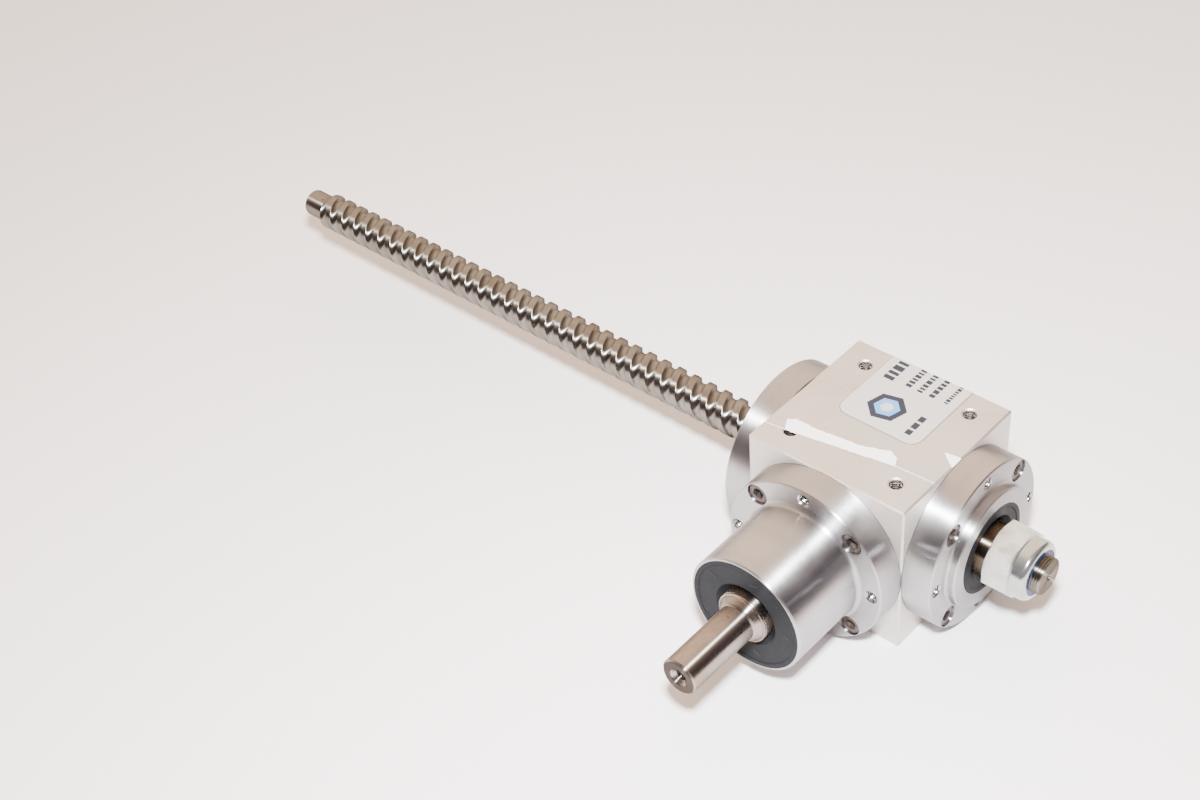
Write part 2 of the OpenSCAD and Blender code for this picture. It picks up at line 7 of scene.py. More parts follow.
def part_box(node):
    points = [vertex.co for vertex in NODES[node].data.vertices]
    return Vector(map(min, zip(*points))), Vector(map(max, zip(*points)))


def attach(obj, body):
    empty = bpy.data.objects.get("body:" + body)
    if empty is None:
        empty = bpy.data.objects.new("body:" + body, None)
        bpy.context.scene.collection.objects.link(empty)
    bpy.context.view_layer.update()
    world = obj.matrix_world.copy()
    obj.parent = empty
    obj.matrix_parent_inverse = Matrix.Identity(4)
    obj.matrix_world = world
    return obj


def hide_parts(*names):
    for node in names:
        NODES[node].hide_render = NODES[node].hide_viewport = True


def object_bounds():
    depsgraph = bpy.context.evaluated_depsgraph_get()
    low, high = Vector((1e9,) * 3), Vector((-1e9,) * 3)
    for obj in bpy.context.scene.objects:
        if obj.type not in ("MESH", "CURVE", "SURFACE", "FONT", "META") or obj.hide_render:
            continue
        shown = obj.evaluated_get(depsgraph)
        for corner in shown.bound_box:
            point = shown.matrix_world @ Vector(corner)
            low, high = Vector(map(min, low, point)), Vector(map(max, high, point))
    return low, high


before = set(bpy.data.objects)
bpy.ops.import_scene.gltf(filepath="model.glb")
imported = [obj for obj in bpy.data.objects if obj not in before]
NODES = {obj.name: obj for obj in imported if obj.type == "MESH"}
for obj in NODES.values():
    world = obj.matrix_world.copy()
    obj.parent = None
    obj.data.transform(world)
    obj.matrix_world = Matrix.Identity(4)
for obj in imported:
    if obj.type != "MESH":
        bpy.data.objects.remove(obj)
CAD_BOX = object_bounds()
MM = 0.001
# Height of both shaft axes, and half the cube, where each flange meets it, in metres
AXIS_Z = 0.0325
JOINT_AT = 0.0325
# Tint of the metals' reflections at a grazing angle
GRAZING = (0.50, 0.48, 0.47, 1)
GRAZING_STEEL = (0.28, 0.26, 0.25, 1)
random.seed(7)


# ---------------------------------------------------------------- materials

class Net:
    """A material with short calls for its nodes."""

    def __init__(self, name):
        self.mat = bpy.data.materials.new(name)
        self.mat.use_nodes = True
        self.tree = self.mat.node_tree
        self.bsdf = self.tree.nodes["Principled BSDF"]
        self.coord = self.tree.nodes.new("ShaderNodeTexCoord").outputs["Object"]

    def put(self, socket, value):
        if isinstance(value, bpy.types.NodeSocket):
            self.tree.links.new(value, socket)
        elif value is not None:
            socket.default_value = value

    def set(self, **values):
        for key, value in values.items():
            self.put(self.bsdf.inputs[key.replace("_", " ")], value)
        return self

    def math(self, op, a, b=None):
        n = self.tree.nodes.new("ShaderNodeMath")
        n.operation = op
        self.put(n.inputs[0], a)
        self.put(n.inputs[1], b)
        return n.outputs[0]

    def vec(self, op, a, b=None):
        n = self.tree.nodes.new("ShaderNodeVectorMath")
        n.operation = op
        self.put(n.inputs[0], a)
        self.put(n.inputs[1], b)
        return n.outputs["Value" if op in ("LENGTH", "DOT_PRODUCT") else "Vector"]

    def noise(self, vector, scale, detail=2.0, rough=0.5):
        n = self.tree.nodes.new("ShaderNodeTexNoise")
        self.put(n.inputs["Vector"], vector)
        self.put(n.inputs["Scale"], scale)
        self.put(n.inputs["Detail"], detail)
        self.put(n.inputs["Roughness"], rough)
        return n.outputs[0]

    def ramp(self, value, *stops):
        n = self.tree.nodes.new("ShaderNodeValToRGB")
        self.put(n.inputs[0], value)
        el = n.color_ramp.elements
        while len(el) < len(stops):
            el.new(0.5)
        for e, (p, c) in zip(el, stops):
            e.position = p
            e.color = (*c, 1) if isinstance(c, tuple) else (c, c, c, 1)
        return n.outputs[0]

    def span(self, value, low, high, to_low, to_high):
        n = self.tree.nodes.new("ShaderNodeMapRange")
        for i, v in enumerate((value, low, high, to_low, to_high)):
            self.put(n.inputs[i], v)
        return n.outputs[0]

    def mix(self, factor, a, b, blend="MIX"):
        n = self.tree.nodes.new("ShaderNodeMix")
        n.data_type, n.blend_type = "RGBA", blend
        self.put(n.inputs[0], factor)
        for socket, v in ((n.inputs[6], a), (n.inputs[7], b)):
            self.put(socket, (*v, 1) if isinstance(v, tuple) and len(v) == 3 else v)
        return n.outputs[2]

    def bump(self, height, distance, strength=1.0, normal=None):
        n = self.tree.nodes.new("ShaderNodeBump")
        self.put(n.inputs["Strength"], strength)
        self.put(n.inputs["Distance"], distance)
        self.put(n.inputs["Height"], height)
        self.put(n.inputs["Normal"], normal)
        return n.outputs[0]

    def parts(self, vector):
        n = self.tree.nodes.new("ShaderNodeSeparateXYZ")
        self.put(n.inputs[0], vector)
        return n.outputs

    def join(self, x, y, z):
        n = self.tree.nodes.new("ShaderNodeCombineXYZ")
        for i, v in enumerate((x, y, z)):
            self.put(n.inputs[i], v)
        return n.outputs[0]

    def about(self, axis):
        """Distance along the axis, radius from it, and the direction round it, for a shaft along x or y."""
        p = self.vec("SUBTRACT", self.coord, (0, 0, AXIS_Z))
        s = self.parts(p)
        if axis == "x":
            along, across, unit = s[0], self.join(0, s[1], s[2]), (1, 0, 0)
        else:
            along, across, unit = s[1], self.join(s[0], 0, s[2]), (0, 1, 0)
        return along, self.vec("LENGTH", across), self.vec("CROSS_PRODUCT", unit, across)

    def tangent(self, vector):
        n = self.tree.nodes.new("ShaderNodeVectorTransform")
        n.vector_type, n.convert_from, n.convert_to = "VECTOR", "OBJECT", "WORLD"
        self.put(n.inputs[0], vector)
        self.put(self.bsdf.inputs["Tangent"], self.vec("NORMALIZE", n.outputs[0]))


def turned_metal(name, axis, color, rough):
    """Metal turned on a lathe: feed lines round the axis, stretched highlights, handling marks."""
    feed, depth, smudge = 0.25, 3e-6, 0.06
    m = Net(name)
    along, radius, direction = m.about(axis)
    line = m.join(m.math("MULTIPLY", along, 1000 / feed), m.math("MULTIPLY", radius, 1000 / feed), 0)
    rings = m.noise(line, 1.0, 3.0, 0.7)
    wide = m.noise(m.join(m.math("MULTIPLY", along, 160), m.math("MULTIPLY", radius, 160), 0), 1.0, 2.0)
    cloud = m.noise(m.coord, 70, 4.0, 0.6)
    fine = m.noise(m.coord, 900, 3.0, 0.6)
    shade = m.span(rings, 0.3, 0.7, 0.94, 1.05)
    shade = m.math("MULTIPLY", shade, m.span(wide, 0.3, 0.7, 0.96, 1.04))
    shade = m.math("MULTIPLY", shade, m.span(cloud, 0.3, 0.7, 1 - smudge, 1 + smudge))
    tone = m.mix(1.0, color, m.join(shade, shade, shade), "MULTIPLY")
    # a dark olive line where the flange meets the cube
    gap = m.math("SUBTRACT", m.math("ABSOLUTE", along), JOINT_AT)
    crack = m.span(m.math("ADD", gap, m.span(cloud, 0.3, 0.7, -1e-4, 1e-4)), 0.0001, 0.0004, 1.0, 0.0)
    tone = m.mix(m.math("MULTIPLY", crack, 0.8), tone, (0.10, 0.085, 0.045))
    worn = m.span(cloud, 0.3, 0.7, rough - 0.05, rough + 0.06)
    r = m.math("ADD", worn, m.span(fine, 0.3, 0.7, -0.02, 0.03))
    m.tangent(direction)
    m.set(Base_Color=tone, Metallic=1.0, Roughness=r, Anisotropic=0.97, Anisotropic_Rotation=0.25,
          Specular_Tint=GRAZING, Normal=m.bump(rings, depth, 1.0, m.bump(fine, depth * 0.15)))
    return m.mat


def milled_metal(name, color, rough):
    """Milled and lightly tumbled aluminium: fine straight grain, faint mottle and small scratches."""
    m = Net(name)
    s = m.parts(m.coord)
    grain = m.noise(m.join(m.math("MULTIPLY", s[0], 260), m.math("MULTIPLY", s[1], 2600),
                           m.math("MULTIPLY", s[2], 2600)), 1.0, 4.0, 0.65)
    pits = m.noise(m.coord, 2400, 2.0, 0.6)
    cloud = m.noise(m.coord, 38, 5.0, 0.6)
    streak = m.noise(m.vec("MULTIPLY", m.coord, (140, 1500, 900)), 1.0, 1.0)
    scratch = m.ramp(streak, (0.70, 0.0), (0.74, 1.0))
    shade = m.math("MULTIPLY", m.span(grain, 0.3, 0.7, 0.90, 1.06), m.span(cloud, 0.3, 0.7, 0.93, 1.04))
    shade = m.math("MULTIPLY", shade, m.span(pits, 0.3, 0.7, 0.91, 1.06))
    tone = m.mix(1.0, color, m.join(shade, shade, shade), "MULTIPLY")
    tone = m.mix(m.math("MULTIPLY", scratch, 0.18), tone, (0.95, 0.94, 0.92))
    r = m.math("ADD", m.span(cloud, 0.3, 0.7, rough - 0.04, rough + 0.05), m.math("MULTIPLY", scratch, -0.1))
    m.set(Base_Color=tone, Metallic=1.0, Roughness=r,
          Normal=m.bump(grain, 6e-6, 1.0, m.bump(pits, 8e-6)))
    return m.mat


def black_oxide(name):
    """Blackened screw steel with brown rust bloom on its rims and in its socket."""
    m = Net(name)
    bloom = m.ramp(m.noise(m.coord, 420, 5.0, 0.7), (0.42, 0.0), (0.66, 1.0))
    speck = m.noise(m.coord, 2600, 3.0, 0.6)
    tone = m.mix(m.math("MULTIPLY", bloom, 0.75), (0.035, 0.033, 0.035), (0.16, 0.10, 0.07))
    tone = m.mix(m.span(speck, 0.35, 0.75, 0.0, 0.35), tone, (0.05, 0.045, 0.045))
    m.set(Base_Color=tone, Metallic=m.span(bloom, 0.0, 1.0, 0.75, 0.35),
          Roughness=m.span(bloom, 0.0, 1.0, 0.34, 0.6), Normal=m.bump(speck, 1.2e-5))
    return m.mat


def rubber(name, color, rough):
    """Moulded nitrile rubber: slight bloom, fine mould texture and grease sheen."""
    m = Net(name)
    cloud = m.noise(m.coord, 110, 4.0, 0.6)
    fine = m.noise(m.coord, 2200, 3.0, 0.65)
    dust = m.ramp(m.noise(m.coord, 1300, 2.0), (0.66, 0.0), (0.74, 1.0))
    tone = m.mix(m.span(cloud, 0.3, 0.7, 0.0, 1.0), color, tuple(c * 1.5 for c in color))
    tone = m.mix(m.math("MULTIPLY", dust, 0.06), tone, (0.45, 0.42, 0.40))
    m.set(Base_Color=tone, Metallic=0.0, Roughness=m.span(cloud, 0.3, 0.7, rough - 0.08, rough + 0.1),
          Specular_IOR_Level=0.06, Normal=m.bump(fine, 1.5e-5))
    return m.mat


def zinc(name, collar_at):
    """Zinc plating: dull white bloom on the hexagon, brighter metal on the collar past a distance along x."""
    m = Net(name)
    cloud = m.noise(m.coord, 210, 5.0, 0.6)
    fine = m.noise(m.coord, 1500, 3.0, 0.6)
    along = m.about("x")[0]
    hexagon_side = m.span(along, collar_at - 0.0008, collar_at, 1.0, 0.25)
    bloom = m.math("MULTIPLY", m.ramp(cloud, (0.30, 0.25), (0.60, 1.0)), hexagon_side)
    tone = m.mix(bloom, (0.33, 0.345, 0.345), (0.53, 0.53, 0.495))
    grime = m.ramp(m.noise(m.coord, 260, 5.0, 0.7), (0.60, 0.0), (0.74, 1.0))
    tone = m.mix(m.math("MULTIPLY", grime, 0.18), tone, (0.42, 0.36, 0.30))
    m.set(Base_Color=tone, Metallic=m.span(bloom, 0.0, 1.0, 0.97, 0.72),
          Roughness=m.span(bloom, 0.0, 1.0, 0.14, 0.28),
          Normal=m.bump(fine, 1.2e-5, 1.0, m.bump(cloud, 6e-5)))
    return m.mat


def nylon(name):
    """The nut's blue insert ring."""
    m = Net(name)
    cloud = m.noise(m.coord, 260, 4.0, 0.6)
    fine = m.noise(m.coord, 1800, 3.0)
    m.set(Base_Color=m.mix(m.span(cloud, 0.3, 0.7, 0.0, 1.0), (0.010, 0.022, 0.085), (0.016, 0.036, 0.12)),
          Roughness=m.span(cloud, 0.3, 0.7, 0.32, 0.5), Subsurface_Weight=0.08, Specular_IOR_Level=0.2,
          Normal=m.bump(fine, 1.5e-5))
    m.bsdf.inputs["Subsurface Radius"].default_value = (0.0004, 0.0006, 0.001)
    return m.mat


def film(name, color, rough, paper=False, shine=0.5):
    """Printed sticker film: faint fibre and ripple under a satin coat."""
    m = Net(name)
    fibre = m.noise(m.vec("MULTIPLY", m.coord, (900, 500, 500)), 1.0, 4.0, 0.6)
    ripple = m.noise(m.coord, 120, 3.0)
    tone = m.mix(m.span(fibre, 0.3, 0.7, 0.0, 1.0), tuple(c * 0.94 for c in color), color)
    m.set(Base_Color=tone, Roughness=m.span(ripple, 0.3, 0.7, rough - 0.06, rough + 0.08),
          Specular_IOR_Level=shine,
          Coat_Weight=0.0 if paper else 0.35, Coat_Roughness=0.25,
          Normal=m.bump(ripple, 5e-5, 0.6, m.bump(fibre, 6e-6)))
    return m.mat


def ground_steel(name, axis, color, rough, stain, dirt=0.5, end=None):
    """Ground shaft steel: very fine lines round the axis, brown film and small dark nicks.

    Past the end, a distance along the axis, it has the darker tone of a sawn face.
    """
    depth, feed = 2e-6, 0.12
    m = Net(name)
    along, radius, direction = m.about(axis)
    line = m.join(m.math("MULTIPLY", along, 1000 / feed), m.math("MULTIPLY", radius, 1000 / feed), 0)
    rings = m.noise(line, 1.0, 3.0, 0.7)
    cloud = m.noise(m.vec("MULTIPLY", m.coord, (90, 90, 90)), 1.0, 5.0, 0.65)
    nick = m.ramp(m.noise(m.coord, 700, 4.0, 0.6), (0.675, 0.0), (0.70, 1.0))
    film_at = m.ramp(cloud, (0.38, 0.0), (0.68, 1.0))
    shade = m.span(rings, 0.3, 0.7, 0.94, 1.05)
    tone = m.mix(1.0, color, m.join(shade, shade, shade), "MULTIPLY")
    tone = m.mix(m.math("MULTIPLY", film_at, dirt), tone, stain)
    tone = m.mix(m.math("MULTIPLY", nick, 0.7), tone, (0.05, 0.038, 0.03))
    if end is not None:
        past = m.span(m.math("ABSOLUTE", along), end, end + 0.0001, 0.0, 1.0)
        tone = m.mix(past, tone, (0.085, 0.075, 0.07))
    m.tangent(direction)
    r = m.math("ADD", m.span(film_at, 0.0, 1.0, rough, rough + 0.06), m.math("MULTIPLY", nick, 0.2))
    m.set(Base_Color=tone, Metallic=1.0, Roughness=r, Anisotropic=1.0, Anisotropic_Rotation=0.25,
          Specular_Tint=GRAZING_STEEL,
          Normal=m.bump(rings, depth, 1.0, m.bump(nick, -5e-6, 0.6)))
    return m.mat


def polished_steel(name, color, rough):
    """Bright steel or cut aluminium: even, with a faint cloudiness and very fine marks."""
    m = Net(name)
    cloud = m.noise(m.coord, 240, 4.0, 0.6)
    fine = m.noise(m.coord, 2600, 3.0, 0.6)
    tone = m.mix(m.span(cloud, 0.3, 0.7, 0.0, 1.0), tuple(c * 0.86 for c in color), color)
    m.set(Base_Color=tone, Metallic=1.0, Roughness=m.span(cloud, 0.3, 0.7, rough - 0.03, rough + 0.05),
          Normal=m.bump(fine, 3e-6))
    return m.mat


ALU = (0.41, 0.40, 0.41)
FLANGE_X = turned_metal("flange_aluminium_x", "x", ALU, 0.34)
FLANGE_Y = turned_metal("flange_aluminium_y", "y", ALU, 0.34)
HOUSING = milled_metal("housing_aluminium", (0.60, 0.56, 0.515), 0.56)
OXIDE = black_oxide("black_oxide_steel")
SEAL = rubber("seal_rubber", (0.009, 0.0095, 0.011), 0.5)
NITRILE = rubber("nitrile_rubber", (0.015, 0.015, 0.015), 0.5)
HEXAGON_H = 0.0104
ZINC = zinc("zinc_plated_steel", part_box("lock_nut")[0].x + HEXAGON_H)
NYLON = nylon("blue_nylon")
LABEL = film("label_film", (0.40, 0.37, 0.34), 0.42)
TAPE = film("tape_residue", (0.76, 0.75, 0.755), 0.5, paper=True)
# dark film painted as the shadow along the label's edge
EDGE_SHADOW_PAINT = film("label_edge_shadow_paint", (0.12, 0.10, 0.085), 0.6, paper=True)
INK = film("label_ink", (0.022, 0.022, 0.03), 0.6, paper=True, shine=0.12)
INK_BLUE = film("label_ink_blue", (0.10, 0.25, 0.46), 0.6, paper=True, shine=0.2)
# Just short of the input shaft's end face, in metres along y
SHAFT_END = 0.1113
SHAFT = ground_steel("ground_steel", "y", (0.31, 0.275, 0.25), 0.24, (0.20, 0.145, 0.11), end=SHAFT_END)
HOLLOW = ground_steel("hollow_shaft_steel", "x", (0.22, 0.185, 0.145), 0.24, (0.13, 0.08, 0.045), dirt=0.7)
SCREW = ground_steel("screw_steel", "x", (0.23, 0.215, 0.195), 0.29, (0.15, 0.12, 0.09), dirt=0.45)
GEAR = polished_steel("gear_steel", (0.42, 0.42, 0.44), 0.34)
KEY = polished_steel("key_steel", (0.55, 0.55, 0.56), 0.3)
SPRING = polished_steel("spring_steel", (0.20, 0.20, 0.21), 0.4)
RACE = polished_steel("bearing_steel", (0.70, 0.70, 0.71), 0.16)
BALL = polished_steel("ball_steel", (0.78, 0.78, 0.79), 0.06)
CAGE = polished_steel("cage_steel", (0.55, 0.53, 0.50), 0.36)

FINISH = {"housing": HOUSING, "input_flange": FLANGE_Y, "output_flange_front": FLANGE_X,
          "output_flange_rear": FLANGE_X, "input_flange_screws": OXIDE, "output_front_screws": OXIDE,
          "output_rear_screws": OXIDE, "input_o_ring": NITRILE, "output_front_o_ring": NITRILE,
          "output_rear_o_ring": NITRILE, "input_seal": SEAL, "output_front_seal": SEAL,
          "output_rear_seal": SEAL, "label": LABEL, "input_shaft": SHAFT, "input_pinion": GEAR,
          "pinion_key": KEY, "input_spacer": KEY, "input_shaft_circlip": SPRING,
          "input_bore_circlip": SPRING, "hollow_shaft": HOLLOW, "output_gear": GEAR, "gear_key": KEY,
          "ball_screw": SCREW, "screw_key": KEY, "lock_nut": ZINC, "lock_nut_insert": NYLON}
for name, obj in NODES.items():
    kind = FINISH.get(name) or (BALL if name.endswith("balls") else CAGE if name.endswith("cage") else RACE)
    for s in obj.material_slots:
        s.material = kind


# ---------------------------------------------------------------- mesh tools

def place(along, r, angle):
    """A point in metres from mm along the screw's axis, a radius in mm and an angle."""
    return Vector((along, r * cos(angle), r * sin(angle))) * MM + Vector((0, 0, AXIS_Z))


def make(name, verts, faces, material, body, slot, sharp=32):
    """A smooth-shaded piece that rides on a body. Edges over the sharp angle, in degrees, stay crisp."""
    mesh = bpy.data.meshes.new(name)
    mesh.from_pydata([tuple(v) for v in verts], [], faces)
    mesh.validate()
    mesh.update()
    obj = bpy.data.objects.new(name, mesh)
    bpy.context.scene.collection.objects.link(obj)
    b = bmesh.new()
    b.from_mesh(mesh)
    bmesh.ops.recalc_face_normals(b, faces=b.faces)
    b.to_mesh(mesh)
    b.free()
    mesh.polygons.foreach_set("use_smooth", [True] * len(mesh.polygons))
    mesh.set_sharp_from_angle(angle=radians(sharp))
    mesh.materials.append(material)
    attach(obj, body)
    return obj


def lathe(profile, segs):
    """A profile [(along, radius)] swept round the screw's axis. It starts and ends on the axis."""
    verts, faces, rows = [], [], []
    for along, r in profile:
        if r == 0:
            rows.append([len(verts)])
            verts.append(place(along, 0, 0))
        else:
            rows.append(list(range(len(verts), len(verts) + segs)))
            verts += [place(along, r, 2 * pi * i / segs) for i in range(segs)]
    for one, two in zip(rows, rows[1:]):
        for i in range(segs):
            j = (i + 1) % segs
            if len(one) == 1:
                faces.append((one[0], two[j], two[i]))
            elif len(two) == 1:
                faces.append((one[i], one[j], two[0]))
            else:
                faces.append((one[i], one[j], two[j], two[i]))
    return verts, faces


def add(total, part):
    """Joins a part's vertices and faces to the lists of a whole."""
    n = len(total[0])
    total[0].extend(part[0])
    total[1].extend([tuple(i + n for i in f) for f in part[1]])
    return total


def thread_sleeve(start, end, wall, crest, back, pitch, segs=48, rows_a_turn=5):
    """A closed sleeve, as (along, radius, angle) points and faces, whose inner wall carries a V thread.

    Its back is buried in the metal round the hole.
    """
    rows = int((end - start) / pitch * rows_a_turn) + 1
    points, faces = [], []
    for k in range(rows + 1):
        along = start + (end - start) * k / rows
        fade = min(1.0, (end - along) / pitch, (along - start) / pitch + 0.2)
        for i in range(segs):
            phase = (along / pitch - i / segs) % 1.0
            v = abs(2 * phase - 1)
            points.append((along, wall - (wall - crest) * (1 - v) * max(fade, 0), 2 * pi * i / segs))
    inner = len(points)
    for along in (start, end):
        points += [(along, back, 2 * pi * i / segs) for i in range(segs)]
    last = rows * segs
    for i in range(segs):
        j = (i + 1) % segs
        for k in range(rows):
            faces.append((k * segs + i, k * segs + j, (k + 1) * segs + j, (k + 1) * segs + i))
        faces.append((inner + i, inner + j, j, i))
        faces.append((last + i, last + j, inner + segs + j, inner + segs + i))
        faces.append((inner + i, inner + segs + i, inner + segs + j, inner + j))
    return points, faces


# ---------------------------------------------------------------- ball screw, in mm along x

# Ball thread: land radius, advance a turn, groove section, ends, and one point in the middle of a land
SCREW_R, LEAD, STARTS = 7.65, 15.0, 2
PITCH = LEAD / STARTS
GROOVE_R, GROOVE_DEPTH = 2.05, 1.7
THREAD_FROM, THREAD_TO = -291.5, -53.6
CREST_X, CREST_ANGLE = -64.92, radians(41.57)
ROWS_A_TURN = 64
# The thread's start is chamfered from this radius, by this much radius a millimetre
CHAMFER_R, CHAMFER_SLOPE = 6.35, 0.9
# Journal at the free tip, core under the thread, collar against the hollow shaft, and journal inside it
TIP_END, TIP_R = -302.5, 5.75
CORE_R = 5.62
COLLAR_FROM, COLLAR_TO = -54.2, -50.8
JOURNAL_R = 7.0
# Threaded stub past the nut: first groove, its turns and bottom, and the end with its centre hole
STUB_FROM, STUB_TURNS, STUB_PITCH, STUB_ROOT_R = 65.6, 4, 1.0, 6.5
STUB_END = 70.2


def thread_profile():
    """Radius over one pitch of the thread, with rounded edges between groove and land."""
    helix = math.atan(LEAD / (2 * pi * SCREW_R))
    n, reach = 300, 9
    raw = []
    for i in range(n):
        s = (i / n - 0.5) * PITCH * cos(helix)
        inside = GROOVE_R ** 2 - s * s
        drop = math.sqrt(inside) - (GROOVE_R - GROOVE_DEPTH) if inside > 0 else 0
        raw.append(SCREW_R - max(0.0, drop))
    soft = [sum(raw[(i + d) % n] for d in range(-reach, reach + 1)) / (2 * reach + 1) for i in range(n)]
    return lambda s: soft[int(round((s / PITCH + 0.5) % 1.0 * n)) % n]


def screw_thread():
    """The threaded length: rows of points round the screw that turn with the helix."""
    radius = thread_profile()
    # fractions of a pitch from a groove's middle, close together where a groove meets a land
    steps = [0.0, 0.05, 0.1, 0.15, 0.2, 0.235, 0.255, 0.27, 0.285, 0.3, 0.315, 0.335, 0.36, 0.42]
    picks = [-0.5] + [-p for p in steps[:0:-1]] + steps
    phases = sorted((p + k) * PITCH for p in picks for k in range(STARTS))
    rows = int((THREAD_TO - THREAD_FROM) / LEAD * ROWS_A_TURN)
    verts, faces, n = [], [], len(phases)
    for k in range(rows + 1):
        x = THREAD_FROM + (THREAD_TO - THREAD_FROM) * k / rows
        limit = CHAMFER_R + (x - THREAD_FROM) * CHAMFER_SLOPE
        for s in phases:
            # the land's middle lies half a pitch from the groove's
            angle = CREST_ANGLE + 2 * pi * (x - CREST_X - PITCH / 2 - s) / LEAD
            verts.append(place(x, min(radius(s), limit), angle))
    for k in range(rows):
        for i in range(n):
            j = (i + 1) % n
            faces.append((k * n + i, k * n + j, (k + 1) * n + j, (k + 1) * n + i))
    faces.append(tuple(range(n)))
    faces.append(tuple(range(rows * n, rows * n + n)))
    return verts, faces


def screw_core():
    """Everything turned on the screw: tip, core under the thread, collar, journal and threaded stub."""
    tip = [(TIP_END, 0), (TIP_END, 1.1), (TIP_END, 4.9), (TIP_END + 0.2, 5.2), (TIP_END + 0.6, 5.6),
           (TIP_END + 1.0, 5.72), (TIP_END + 1.5, TIP_R), (THREAD_FROM - 0.9, TIP_R)]
    core = [(THREAD_FROM - 0.5, CORE_R), (THREAD_FROM + 0.3, CORE_R), (THREAD_FROM + 1.0, CORE_R),
            (-56, CORE_R), (COLLAR_FROM, CORE_R)]
    collar = [(COLLAR_FROM, 7.5), (COLLAR_FROM + 0.2, SCREW_R), (COLLAR_TO - 0.2, SCREW_R), (COLLAR_TO, 7.5)]
    journal = [(COLLAR_TO, JOURNAL_R), (60, JOURNAL_R)]
    stub = []
    for turn in range(STUB_TURNS):
        x = STUB_FROM + turn * STUB_PITCH
        stub += [(x, 6.98), (x + 0.1, JOURNAL_R), (x + 0.45, 6.52), (x + 0.55, STUB_ROOT_R), (x + 0.9, 6.98)]
    end = [(STUB_END - 0.5, 6.9), (STUB_END - 0.25, 6.75), (STUB_END - 0.05, 6.45), (STUB_END, 6.2)]
    centre_hole = [(STUB_END, 1.5), (STUB_END - 0.2, 1.25), (STUB_END - 1.3, 0.55), (STUB_END - 2.6, 0.4),
                   (STUB_END - 2.8, 0)]
    return lathe(tip + core + collar + journal + stub + end + centre_hole, 160)


screw_mesh = add(screw_core(), screw_thread())
screw = make("ball_screw_fine", *screw_mesh, SCREW, "screw_set", "screw_steel", sharp=42)
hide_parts("ball_screw")


# ---------------------------------------------------------------- tapped holes

# In mm: the cube's edge, half its holes' spacing, half the cube, and the height of the shaft axes
CUBE, SPREAD = 65, 22
HALF, AXIS = JOINT_AT / MM, AXIS_Z / MM
# Faces of the flanges from the crossing point, and the circle of their tapped holes
FLANGE_FACE, TAPPED_R = 44.1, 28.5
# The input shaft's centre thread starts behind a countersink
SHAFT_HOLE_AT = 109.9
# Bore radius, thread pitch and thread depth of the two sizes
M6 = (2.5, 1.0, 7.0)
M5 = (2.1, 0.8, 7.5)
M5_DEEP = (2.1, 0.8, 9.5)


def hole_threads(name, mouths, size, body, slot, material):
    """A thread sleeve in each hole, as one object. A mouth is its centre in mm and the way it faces."""
    r, pitch, depth = size
    verts, faces = [], []
    points, sleeve = thread_sleeve(-depth, -0.55, r - 0.015, r - pitch * 0.36, r + 0.25, pitch)
    for centre, out in mouths:
        out = Vector(out)
        side = Vector((0, 0, 1)) if abs(out.z) < 0.5 else Vector((1, 0, 0))
        other = out.cross(side)
        n = len(verts)
        for along, rad, angle in points:
            p = Vector(centre) + out * along + (side * cos(angle) + other * sin(angle)) * rad
            verts.append(p * MM)
        faces += [tuple(i + n for i in q) for q in sleeve]
    return make(name, verts, faces, material, body, slot, sharp=60)


BRIGHT = polished_steel("cut_aluminium", (0.52, 0.50, 0.49), 0.22)
signs = (-1, 1)
face_holes = [((a * SPREAD, b * SPREAD, CUBE), (0, 0, 1)) for a in signs for b in signs]
face_holes += [((a * SPREAD, b * SPREAD, 0), (0, 0, -1)) for a in signs for b in signs]
face_holes += [((a * SPREAD, HALF, AXIS + b * SPREAD), (0, 1, 0)) for a in signs for b in signs]
hole_threads("face_hole_threads", face_holes, M6, "gearbox", "housing_aluminium", BRIGHT)
ring = [(TAPPED_R * cos(a * pi / 2), TAPPED_R * sin(a * pi / 2)) for a in range(4)]
input_holes = [((a, -FLANGE_FACE, AXIS + b), (0, -1, 0)) for a, b in ring]
front_holes = [((FLANGE_FACE, a, AXIS + b), (1, 0, 0)) for a, b in ring]
rear_holes = [((-FLANGE_FACE, a, AXIS + b), (-1, 0, 0)) for a, b in ring]
hole_threads("input_flange_threads", input_holes, M5, "gearbox", "flange_aluminium", BRIGHT)
hole_threads("front_flange_threads", front_holes, M5, "gearbox", "flange_aluminium", BRIGHT)
hole_threads("rear_flange_threads", rear_holes, M5, "gearbox", "flange_aluminium", BRIGHT)
shaft_hole = [((0, -SHAFT_HOLE_AT, AXIS), (0, -1, 0))]
hole_threads("shaft_end_thread", shaft_hole, M5_DEEP, "input_shaft_set", "ground_steel", SHAFT)


# ---------------------------------------------------------------- label, tape and seal marks, in mm

TOP = CUBE
# Print, tape and the painted shadow round the label start this far under the surface they lie on
SUNK = 0.02
INK_T, TAPE_T, LINE_T, EDGE_SHADOW_T = 0.03, 0.07, 0.03, 0.02
label_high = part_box("label")[1]
LABEL_TOP = label_high.z / MM
FAR = label_high.y / MM


def plate(outline, low, high):
    """A thin prism on an outline [(x, y)], between two heights."""
    n = len(outline)
    verts = [Vector((x, y, z)) * MM for z in (low, high) for x, y in outline]
    faces = [tuple(range(n))[::-1], tuple(range(n, 2 * n))]
    for i in range(n):
        j = (i + 1) % n
        faces.append((i, j, n + j, n + i))
    return verts, faces


def bar(x0, x1, y0, y1):
    """A printed bar on the label."""
    return plate([(x0, y0), (x1, y0), (x1, y1), (x0, y1)], LABEL_TOP - SUNK, LABEL_TOP + INK_T)


